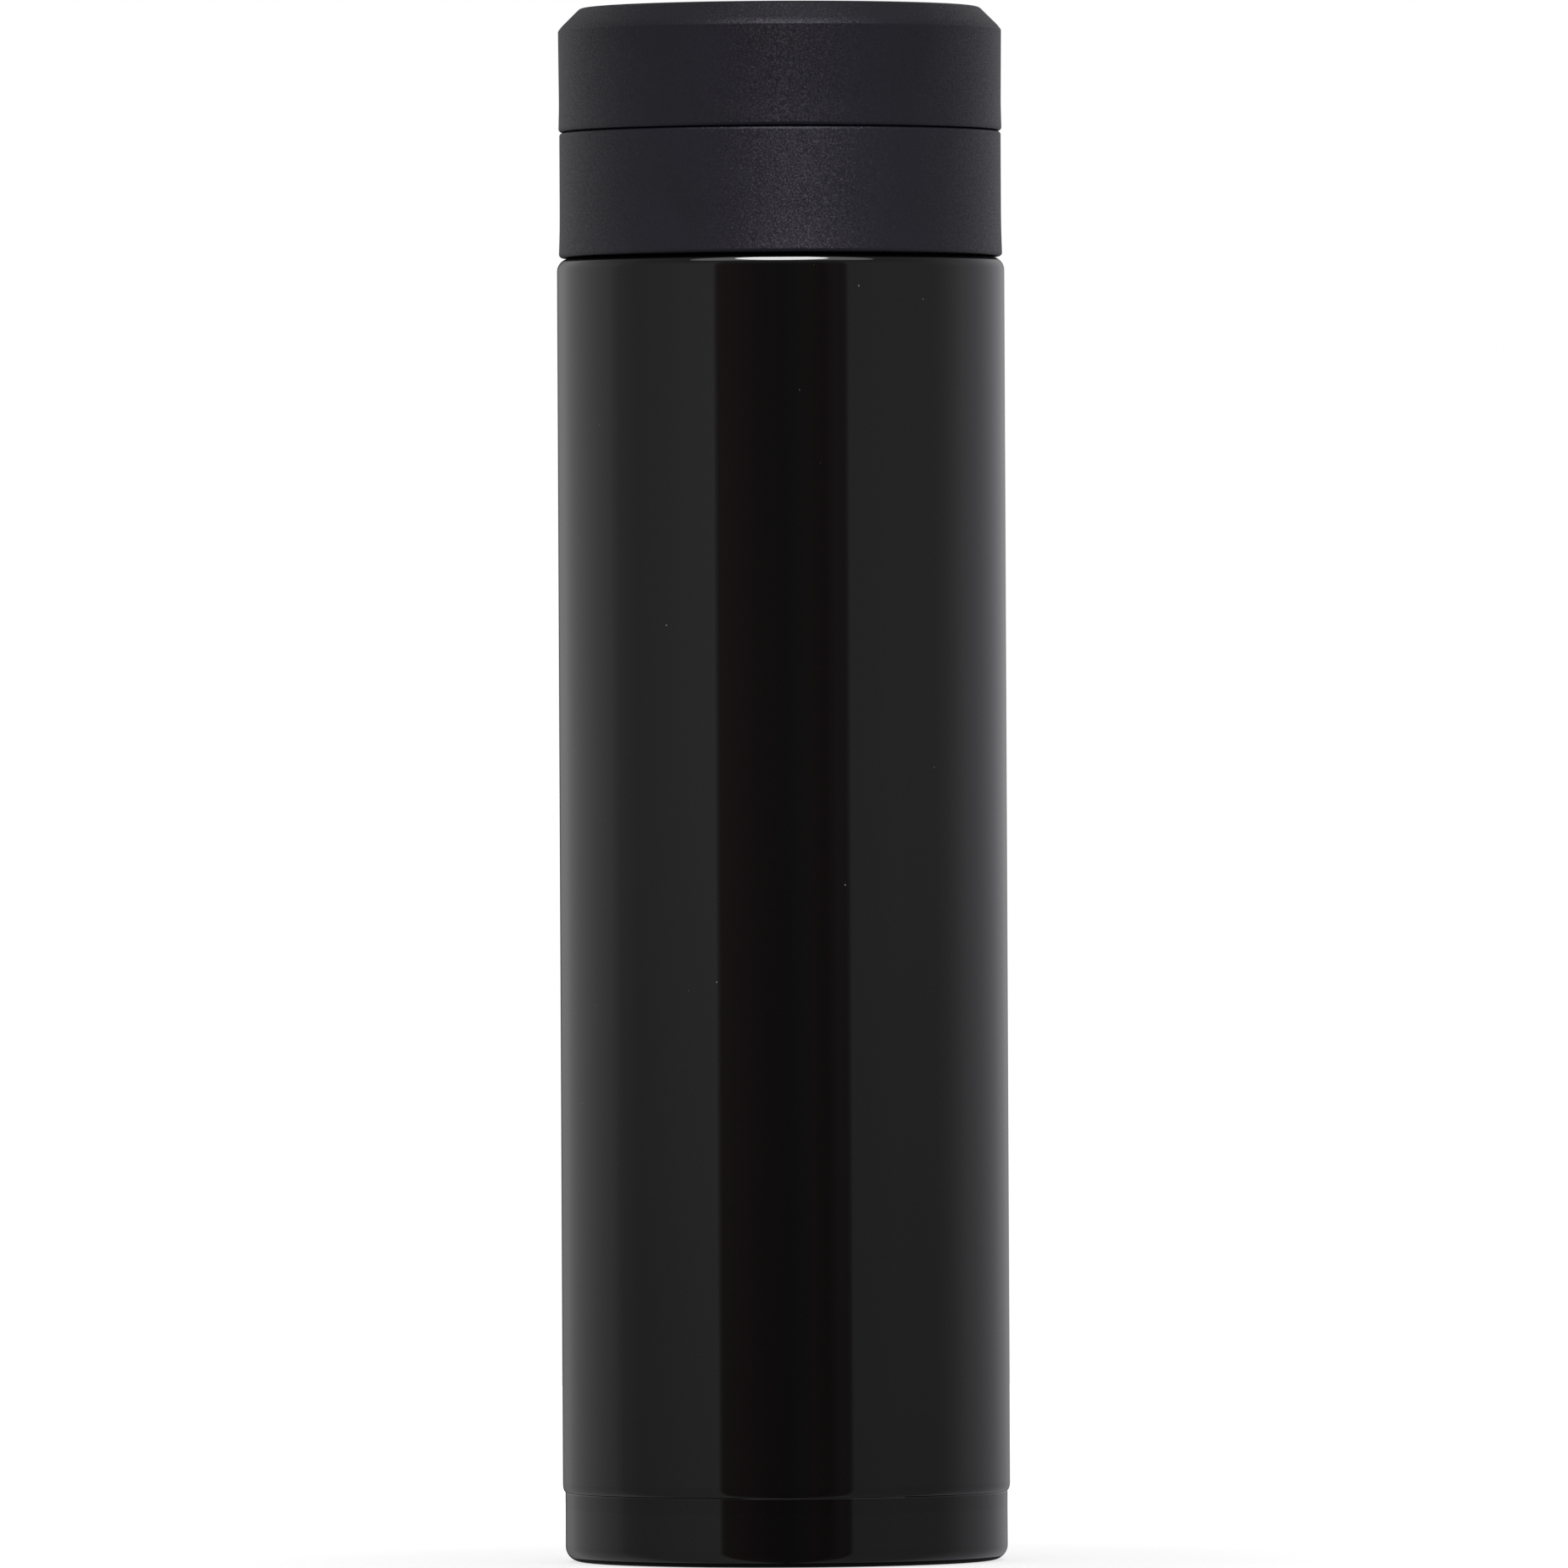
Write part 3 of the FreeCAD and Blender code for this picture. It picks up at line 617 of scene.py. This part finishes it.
def studioFloor():
    # pale matt table top a little under the flask, which brightens into the white backdrop, and a dark disc
    # on it that only the rolled heel mirrors: painted shade for the shaded narrow gap below a heel, with a
    # faint glow as painted light
    floor = {"radius": 900.0, "drop": 0.05, "colour": "#F2F2F2", "glow": 0.72, "glowFrom": 60.0,
             "glowTo": 240.0}
    heelShade = {"in": 0.6, "drop": 0.04, "colour": "#0A0A0A", "glow": "#363636"}
    laminate, tree, shader, place = newMaterial(
        "pale matt laminate", Base_Color=linearColour(floor["colour"]), Roughness=0.9, IOR=1.45,
        Emission_Color=linearColour("#FFFFFF"))
    away = addNode(tree, "ShaderNodeVectorMath", {0: place}, operation="LENGTH")
    # the glow is painted light: emission added to the lamp-lit sheet, weaker near the flask and rising to
    # full white by glowTo
    glow = addNode(tree, "ShaderNodeMapRange", {
        "Value": away.outputs["Value"], "From Min": floor["glowFrom"] * mm, "From Max": floor["glowTo"] * mm,
        "To Min": floor["glow"], "To Max": 1.0})
    tree.links.new(glow.outputs["Result"], shader.inputs["Emission Strength"])
    sheet = stageDisc("table_top", floor["radius"], floor["drop"], laminate)
    sheet.visible_glossy = False          # the gloss body mirrors the dim room below it, not the sheet
    # painted shade: a near-black disc with a faint glow, seen only in the heel's reflection, in place of the
    # shade under the base
    heelShadeMaterial = newMaterial(
        "painted shade under the heel", Base_Color=linearColour(heelShade["colour"]), Roughness=1.0, Specular_IOR_Level=0.0,
        Emission_Color=linearColour(heelShade["glow"]), Emission_Strength=1.0)[0]
    patch = stageDisc("shade_under_base", cupRadius - heelShade["in"], heelShade["drop"], heelShadeMaterial)
    patch.visible_camera = False


def studioWorld():
    # the room as a function of direction. Round the horizon: a dim gap in front, a tall soft light each
    # side of it and a white room behind. Upwards it fades to a dim ceiling, and below the horizon it is a
    # little dimmer. The camera sees a white backdrop instead
    room = {"gap": 34.0, "edge": 0.6, "ceiling": 0.28, "ceilingFrom": 0.3, "ceilingTo": 0.7, "low": 0.72,
            "lowFrom": -0.04}
    gapEnd = room["gap"] - room["edge"]
    lightStart = room["gap"] + room["edge"]
    # bearing from the front, in degrees to the right, and the light's red, green and blue there
    levels = [
        (-180, 0.06, 0.06, 0.06), (-173, 0.06, 0.06, 0.06), (-166, 0.33, 0.33, 0.34),
        (-150, 0.60, 0.60, 0.61), (-120, 0.62, 0.62, 0.63), (-100, 0.54, 0.54, 0.55),
        (-93, 0.40, 0.40, 0.41), (-80, 0.36, 0.36, 0.36), (-56, 0.45, 0.45, 0.45),
        (-lightStart, 0.50, 0.50, 0.50), (-gapEnd, 0.20, 0.15, 0.15), (-20, 0.16, 0.11, 0.12),
        (-10, 0.11, 0.09, 0.09), (2, 0.10, 0.09, 0.09), (9, 0.12, 0.11, 0.11), (15, 0.13, 0.10, 0.10),
        (22, 0.12, 0.08, 0.09), (28, 0.18, 0.14, 0.15), (gapEnd, 0.16, 0.13, 0.14),
        (lightStart, 0.38, 0.38, 0.38), (60, 0.40, 0.40, 0.40), (86, 0.35, 0.35, 0.35),
        (94, 0.39, 0.39, 0.39), (108, 0.53, 0.53, 0.55), (120, 0.56, 0.56, 0.60),
        (146, 0.65, 0.65, 0.70), (162, 0.56, 0.56, 0.58), (172, 0.34, 0.34, 0.34), (180, 0.20, 0.20, 0.20)]
    stops = [(bearing / 360 + 0.5, (*light, 1.0)) for bearing, *light in levels]
    world = bpy.data.worlds.new("studio")
    bpy.context.scene.world = world
    world.use_nodes = True
    tree = world.node_tree
    tree.nodes.clear()
    direction = addNode(tree, "ShaderNodeTexCoord").outputs["Generated"]
    axes = addNode(tree, "ShaderNodeSeparateXYZ", {"Vector": direction}).outputs
    front = addNode(tree, "ShaderNodeMath", {0: axes["Y"], 1: -1.0}, operation="MULTIPLY").outputs[0]
    bearing = addNode(tree, "ShaderNodeMath", {0: axes["X"], 1: front}, operation="ARCTAN2").outputs[0]
    place = addNode(tree, "ShaderNodeMath", {0: bearing, 1: 0.5 / math.pi, 2: 0.5}, operation="MULTIPLY_ADD")
    horizon = addNode(tree, "ShaderNodeValToRGB", {"Fac": place.outputs[0]}, stops=stops)
    over = addNode(tree, "ShaderNodeMapRange", {
        "Value": axes["Z"], "From Min": room["ceilingFrom"], "From Max": room["ceilingTo"]})
    above = addNode(tree, "ShaderNodeMix", {
        "Factor": over.outputs["Result"], "A": horizon.outputs["Color"], "B": (*[room["ceiling"]] * 3, 1.0)},
        data_type="RGBA")
    fade = addNode(tree, "ShaderNodeMapRange", {
        "Value": axes["Z"], "From Min": room["lowFrom"], "From Max": 0.0, "To Min": room["low"],
        "To Max": 1.0})
    seen = addNode(tree, "ShaderNodeLightPath").outputs["Is Camera Ray"]
    light = addNode(tree, "ShaderNodeBackground", {
        "Color": above.outputs["Result"], "Strength": fade.outputs["Result"]})
    backdrop = addNode(tree, "ShaderNodeBackground", {"Color": (1.0, 1.0, 1.0, 1.0), "Strength": 1.0})
    shown = addNode(tree, "ShaderNodeMixShader", {0: seen, 1: light.outputs[0], 2: backdrop.outputs[0]})
    addNode(tree, "ShaderNodeOutputWorld", {"Surface": shown.outputs[0]})


def softPanel(name, bearing, elevation, distance, width, height, radiance, lit, tint="#FFFFFF",
              shape="RECTANGLE"):
    # a soft light turned to the flask's shoulder from a bearing and an elevation in degrees, with its other
    # sizes in metres: its power is radiance * pi * area, and lit are the only pieces that it reaches
    panel = bpy.data.lights.new(name, "AREA")
    panel.shape = shape
    panel.size = width
    panel.size_y = height
    panel.energy = radiance * math.pi * width * height
    panel.color = linearColour(tint)[:3]
    lamp = bpy.data.objects.new(name, panel)
    aside = math.radians(bearing)
    rise = math.radians(elevation)
    way = Vector((math.sin(aside) * math.cos(rise), -math.cos(aside) * math.cos(rise), math.sin(rise)))
    lamp.location = way * distance + Vector((0, 0, collarBottom * mm))
    lamp.rotation_euler = way.to_track_quat("Z", "Y").to_euler()
    lamp.visible_camera = False
    bpy.context.scene.collection.objects.link(lamp)
    chosen = bpy.data.collections.new(name)
    for piece in lit:
        chosen.objects.link(piece)
    lamp.light_linking.receiver_collection = chosen


def studioCamera():
    # level with the flask's middle, three metres away, on a long lens
    shot = {"distance": 3070.0, "aside": 0.13, "lens": 485.0, "roll": 0.279}
    camera = bpy.data.cameras.new("camera")
    camera.sensor_width = 36.0
    camera.lens = shot["lens"]
    camera.clip_start = 0.1
    camera.clip_end = 20.0
    holder = bpy.data.objects.new("camera", camera)
    middle = (floorLevel + capTop) / 2
    holder.location = (shot["aside"] * mm, -shot["distance"] * mm, middle * mm)
    holder.rotation_euler = (math.radians(90), math.radians(shot["roll"]), 0)
    bpy.context.scene.collection.objects.link(holder)
    bpy.context.scene.camera = holder


studioFloor()
studioWorld()
coolWhite = "#F7F3FF"
softPanel("cap_light", bearing=5, elevation=24, distance=1.6, width=0.85, height=0.36, radiance=5.9,
          lit=[capPiece], tint=coolWhite)
softPanel("collar_light", bearing=9, elevation=24, distance=1.6, width=0.9, height=0.1, radiance=37.0,
          lit=[collarPiece], tint=coolWhite)
softPanel("chamfer_light", bearing=5, elevation=60, distance=1.2, width=0.6, height=0.25, radiance=15.0,
          lit=[collarPiece, capPiece], tint=coolWhite)
softPanel("shoulder_light", bearing=1, elevation=67, distance=1.2, width=0.72, height=0.72, radiance=13.5,
          lit=[bodyPiece], shape="ELLIPSE")
softPanel("shoulder_glow", bearing=1, elevation=67, distance=1.2, width=1.7, height=0.8, radiance=1.4,
          lit=[bodyPiece], shape="ELLIPSE")
softPanel("seam_light", bearing=25, elevation=44, distance=1.2, width=2.0, height=0.4, radiance=1.6,
          lit=[cupPiece])
studioCamera()
bpy.context.scene.view_settings.view_transform = "Standard"
print("studio ready")
